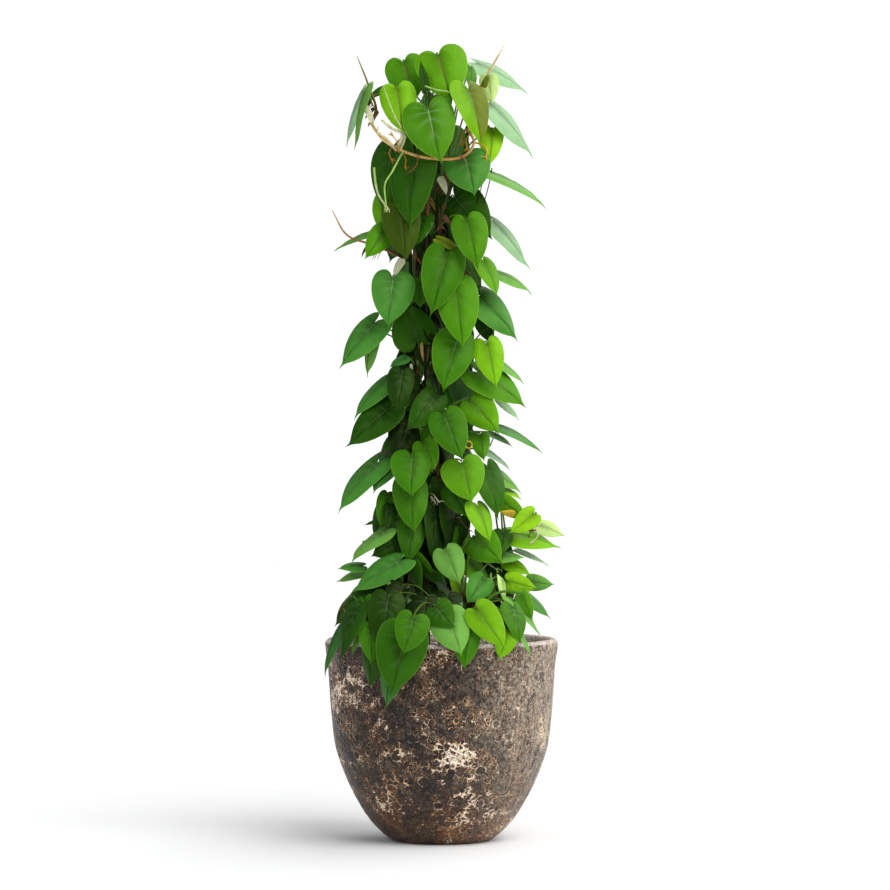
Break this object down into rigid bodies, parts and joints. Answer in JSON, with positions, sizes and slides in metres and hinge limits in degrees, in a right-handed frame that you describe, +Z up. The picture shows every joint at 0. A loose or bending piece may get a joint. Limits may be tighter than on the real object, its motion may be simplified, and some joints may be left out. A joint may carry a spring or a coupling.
{
  "type": "potted heartleaf philodendron",
  "caption": "Tall column of climbing vines with hanging heart-shaped leaves on a slim stake, growing from a glazed egg-shaped stoneware planter.",
  "frame": {"origin": "middle of the pot's flat underside, on the floor", "axes": "+Z up along the pot's axis, +X to the viewer's right, +Y away from the viewer"},
  "size_m": [0.4114, 0.4547, 1.3622],
  "materials": {
    "pot_glaze": "cratered lava glaze, brown over cream",
    "soil": "loose potting mix with bark and perlite",
    "stake": "dark weathered cane",
    "foliage": "waxy green leaf with paler veins"
  },
  "bodies": {
    "root": {"pot": "pot_glaze", "soil": "soil", "stake": "stake", "vine_front": "foliage", "vine_front_left": "foliage", "vine_left": "foliage", "vine_back_left": "foliage", "vine_back": "foliage", "vine_back_right": "foliage", "vine_right": "foliage", "vine_front_right": "foliage"}
  },
  "joints": []
}
